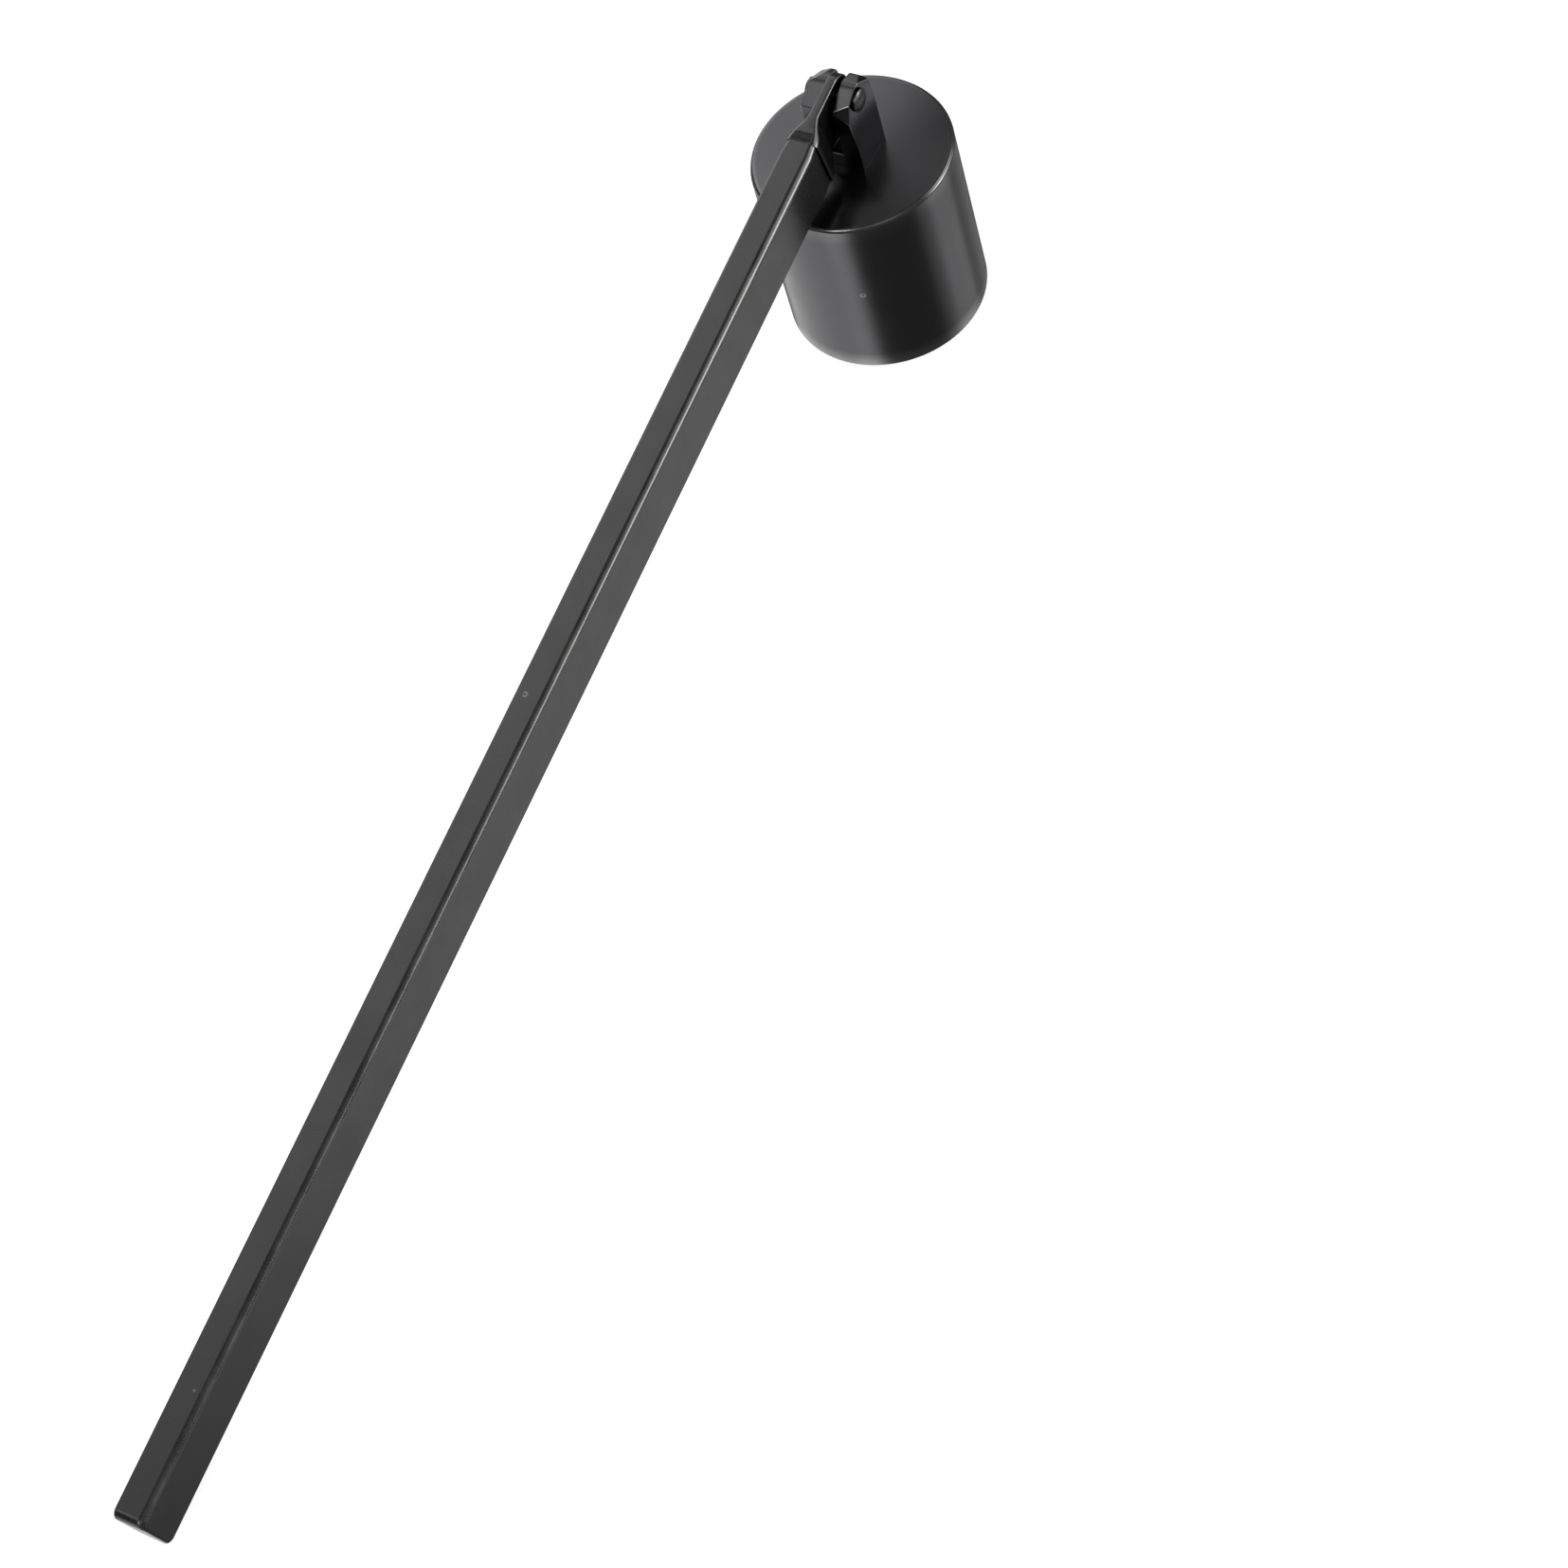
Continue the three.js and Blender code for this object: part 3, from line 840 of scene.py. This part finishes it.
def grind_flats(shape):
    """Cuts each ground flat with a plane and closes the cut."""
    for facing, distance in FLATS:
        normal = Vector(facing).normalized()
        cut_parts = bmesh.ops.bisect_plane(
            shape, geom=shape.verts[:] + shape.edges[:] + shape.faces[:],
            plane_co=normal * distance, plane_no=normal, clear_outer=True,
        )["geom_cut"]
        edges = [part for part in cut_parts if isinstance(part, bmesh.types.BMEdge)]
        if edges:
            bmesh.ops.holes_fill(shape, edges=edges)


def post_blank():
    shape = bmesh.new()
    outline = post_outline()
    ends = [[shape.verts.new((x, y, z)) for y, z in outline] for x in (-POST_WIDTH / 2, POST_WIDTH / 2)]
    for i in range(len(outline)):
        after = (i + 1) % len(outline)
        shape.faces.new((ends[0][i], ends[0][after], ends[1][after], ends[1][i]))
    shape.faces.new(ends[0])
    shape.faces.new(ends[1])
    grind_flats(shape)
    bmesh.ops.recalc_face_normals(shape, faces=shape.faces)
    mesh = bpy.data.meshes.new("post_blank")
    shape.to_mesh(mesh)
    shape.free()
    return mesh


def slot_cutter():
    shape = bmesh.new()
    bmesh.ops.create_cube(shape, size=1.0)
    height = SLOT_FLOOR + 2 * EAR_PEAK
    sizes = (SLOT_WIDTH, POST_DEPTH + 2, height)
    bmesh.ops.scale(shape, vec=sizes, verts=shape.verts)
    bmesh.ops.translate(shape, vec=(0, 0, height / 2 - SLOT_FLOOR), verts=shape.verts)
    mesh = bpy.data.meshes.new("slot")
    shape.to_mesh(mesh)
    shape.free()
    return mesh


def ease_edges(mesh, width, segments, limit):
    """Rounds every edge that turns more than limit, and marks the rounded strips for wear and painted
    highlight.
    """
    shape = bmesh.new()
    shape.from_mesh(mesh)
    bmesh.ops.dissolve_limit(
        shape, angle_limit=math.radians(0.5), verts=shape.verts, edges=shape.edges,
        use_dissolve_boundaries=False,
    )
    worn_and_highlit = shape.verts.layers.float.new("wear_and_highlight")
    sharp = [e for e in shape.edges if e.is_manifold and e.calc_face_angle(0.0) > limit]
    rounded = set(bmesh.ops.bevel(
        shape, geom=sharp, offset=width, offset_type="OFFSET", segments=segments, profile=0.5,
        affect="EDGES", clamp_overlap=False, miter_outer="SHARP",
    )["faces"])
    # The rounded strips take the lighter edge colour: wear, and a painted highlight along the edges.
    for vert in shape.verts:
        vert[worn_and_highlit] = 1.0 if rounded.issuperset(vert.link_faces) else 0.0
    bmesh.ops.remove_doubles(shape, verts=shape.verts, dist=0.002)
    eased = bpy.data.meshes.new("eased")
    shape.to_mesh(eased)
    shape.free()
    return eased


RIVET_RADIUS = 1.3
EAR_HOLE_RADIUS = RIVET_RADIUS + 0.05
ear_cutter = cross_rod([(EAR_HOLE_RADIUS, -POST_WIDTH), (EAR_HOLE_RADIUS, POST_WIDTH)], 48)
post_shape = cut(cut(post_blank(), slot_cutter()), ear_cutter)
post_shape = ease_edges(post_shape, POST_EASE, 3, POST_CORNER)
post_shape.transform(upright_place)
post = finish_piece("post", post_shape, post_plate, "bell", "clevis_post")

# %% [markdown]
# ## Rivet
# The rivet is a soft steel pin with a low round head. Its far end was hammered over to a second head. Both
# heads are a little uneven from the blows, which low, wide noise gives. Each meets its ear at a thin rim.

# %% Rivet
RIVET_HEAD_RADIUS = 1.85
RIVET_HEAD_RISE = 0.5
RIVET_RIM = 0.12
RIGHT_HEAD_SEAT = 4.12         # the right head sits lower, because that ear's side leans in
RIVET_SEGMENTS = 64
DENT_DEPTH = 0.05
DENT_TURNS = 1.3               # turns of the noise in a millimetre


def head_profile():
    """(radius, height above the ear) from the middle of a head to its rim, then in under it."""
    dome_rise = RIVET_HEAD_RISE - RIVET_RIM
    sphere = (RIVET_HEAD_RADIUS ** 2 + dome_rise ** 2) / (2 * dome_rise)
    reach = math.asin(RIVET_HEAD_RADIUS / sphere)
    rows = []
    for i in range(1, 15):
        angle = reach * i / 14
        rows.append((sphere * math.sin(angle), RIVET_HEAD_RISE - sphere * (1 - math.cos(angle)), i / 14))
    return rows + [(RIVET_HEAD_RADIUS, 0.02, 1.0), (RIVET_RADIUS, 0.02, 1.0)]


def rivet_mesh():
    left_seat = POST_WIDTH / 2
    head = head_profile()
    rows = [(r, RIGHT_HEAD_SEAT + z, w) for r, z, w in head]
    rows += [(r, -left_seat - z, w) for r, z, w in reversed(head)]
    points, wear_and_highlight, faces = [], [], []
    for radius, x, worn_and_highlit in rows:
        for i in range(RIVET_SEGMENTS):
            angle = math.tau * i / RIVET_SEGMENTS
            point = Vector((x, radius * math.cos(angle), radius * math.sin(angle)))
            if x > RIGHT_HEAD_SEAT + 0.05 or x < -left_seat - 0.05:
                dent = noise.noise(point * DENT_TURNS) * DENT_DEPTH * (radius / RIVET_HEAD_RADIUS)
                point.x -= math.copysign(abs(dent), x)
                point.y *= 1 - abs(dent)
                point.z *= 1 - abs(dent)
            points.append(point)
            wear_and_highlight.append(worn_and_highlit)
    for row in range(len(rows) - 1):
        for i in range(RIVET_SEGMENTS):
            low, high = row * RIVET_SEGMENTS, (row + 1) * RIVET_SEGMENTS
            after = (i + 1) % RIVET_SEGMENTS
            faces.append((low + i, low + after, high + after, high + i))
    last_ring = len(points) - RIVET_SEGMENTS
    for x, start in ((RIGHT_HEAD_SEAT + RIVET_HEAD_RISE, 0), (-left_seat - RIVET_HEAD_RISE, last_ring)):
        points.append(Vector((x, 0, 0)))
        wear_and_highlight.append(0.0)
        faces += [
            (len(points) - 1, start + i, start + (i + 1) % RIVET_SEGMENTS) for i in range(RIVET_SEGMENTS)
        ]
    return points, faces, wear_and_highlight


rivet_points, rivet_faces, rivet_wear = rivet_mesh()
rivet = make_piece(
    "rivet", rivet_points, rivet_faces, upright_place, rivet_steel,
    "bell", "pivot_rivet", rivet_wear,
)
print("rivet", 2 * RIVET_RADIUS, "mm, heads", 2 * RIVET_HEAD_RADIUS, "mm across")

# %% [markdown]
# ## Stud, washer and nut
# Inside the cup, a threaded stud under the post passes through the top, and a washer and a nut hold it.
# They only show from below, but anyone who turns the cup over sees them first. A thread is a ring whose
# radius rises and falls once in each pitch while it goes round once, so one formula makes it.

# %% Stud thread
STUD_RADIUS = 2.0
THREAD_PITCH = 0.7
THREAD_DEPTH = 0.38
WASHER_RADIUS = 4.5
WASHER_THICKNESS = 0.8
NUT_ACROSS_FLATS = 7.0
NUT_HEIGHT = 3.2
STUD_SPARE = 0.9               # how far the stud stands out past the nut
STUD_ROOT = 0.3                # how far the stud runs up into the post
CEILING = SEAT_HEIGHT - CUP_WALL
STUD_LOW = CEILING - WASHER_THICKNESS - NUT_HEIGHT - STUD_SPARE


def stud_mesh():
    """A threaded rod that tapers in at its tip."""
    segments, rows_per_pitch = 48, 10
    length = SEAT_HEIGHT + STUD_ROOT - STUD_LOW
    rows = int(length / THREAD_PITCH * rows_per_pitch)
    points, faces = [], []
    for row in range(rows + 1):
        height = STUD_LOW + length * row / rows
        lead_in = max(0.0, 0.5 - (height - STUD_LOW))
        for i in range(segments):
            turn = i / segments
            along = ((height - STUD_LOW) / THREAD_PITCH - turn) % 1.0
            groove = THREAD_DEPTH * min(1.0, 1.25 * (1 - abs(2 * along - 1)))
            radius = min(STUD_RADIUS - 0.01 - groove, STUD_RADIUS - 0.05 - lead_in)
            points.append((radius * math.cos(math.tau * turn), radius * math.sin(math.tau * turn), height))
    for row in range(rows):
        for i in range(segments):
            low, high = row * segments, (row + 1) * segments
            after = (i + 1) % segments
            faces.append((low + i, low + after, high + after, high + i))
    faces.append(tuple(range(segments)))
    faces.append(tuple(rows * segments + i for i in range(segments)))
    return points, faces


stud_points, stud_faces = stud_mesh()
stud = make_piece(
    "stud", stud_points, stud_faces, cup_place, post_plate, "bell", "clevis_post",
)

# %% [markdown]
# The washer is stamped, so one of its faces has a soft round edge and the other a sharp one from the die.

# %% Washer


def washer_profile():
    hole, soft = STUD_RADIUS + 0.2, 0.22
    low, high = CEILING - WASHER_THICKNESS, CEILING - 0.02
    outer = arc((WASHER_RADIUS - soft, low + soft), soft, -90, 0, 5) + [(WASHER_RADIUS, high)]
    inner = [(hole, high)] + arc((hole + soft, low + soft), soft, 180, 270, 5)
    return [(r, z, 0.5) for r, z in outer + inner]


washer_points, washer_faces, washer_wear = revolve(washer_profile(), 96)
washer = make_piece(
    "washer", washer_points, washer_faces, cup_place, zinc,
    "bell", "stud_washer", washer_wear,
)

# %% [markdown]
# The nut is a hexagon whose corners are turned off by a cone. Where the cone meets the flats it draws the
# curved lines that every bought nut has, and one formula gives them.

# %% Nut


def nut_mesh():
    segments = 120
    high = CEILING - WASHER_THICKNESS
    low = high - NUT_HEIGHT
    flat = NUT_ACROSS_FLATS / 2
    cone = math.tan(math.radians(30))
    hole, lead_in = STUD_RADIUS - 0.02, 0.3
    points, faces = [], []
    for i in range(segments):
        angle = math.tau * i / segments
        from_flat = (math.degrees(angle) + 30) % 60 - 30
        corner = flat / math.cos(math.radians(from_flat))
        drop = (corner - flat + 0.05) * cone
        column = [
            (hole, low + lead_in), (hole + lead_in, low), (flat - 0.1, low), (corner, low + drop),
            (corner, high - drop), (flat - 0.1, high), (hole + lead_in, high), (hole, high - lead_in),
        ]
        points += [(r * math.cos(angle), r * math.sin(angle), z) for r, z in column]
    rows = len(column)
    for i in range(segments):
        here, there = i * rows, (i + 1) % segments * rows
        for row in range(rows):
            after = (row + 1) % rows
            faces.append((here + row, here + after, there + after, there + row))
    return points, faces


nut_points, nut_faces = nut_mesh()
nut = make_piece("nut", nut_points, nut_faces, cup_place, zinc, "bell", "stud_nut")

# %% [markdown]
# ## Size of the finished look
# The finished look has to fill the same box as the engineering model. Both boxes are printed.

pieces = (cup, handle, post, rivet, stud, washer, nut)
print("pieces:", ", ".join(piece.name for piece in pieces))
look_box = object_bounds()
for label, box in (("model", CAD_BOX), ("look", look_box)):
    print(label, [tuple(round(v / MM, 3) for v in corner) for corner in box])
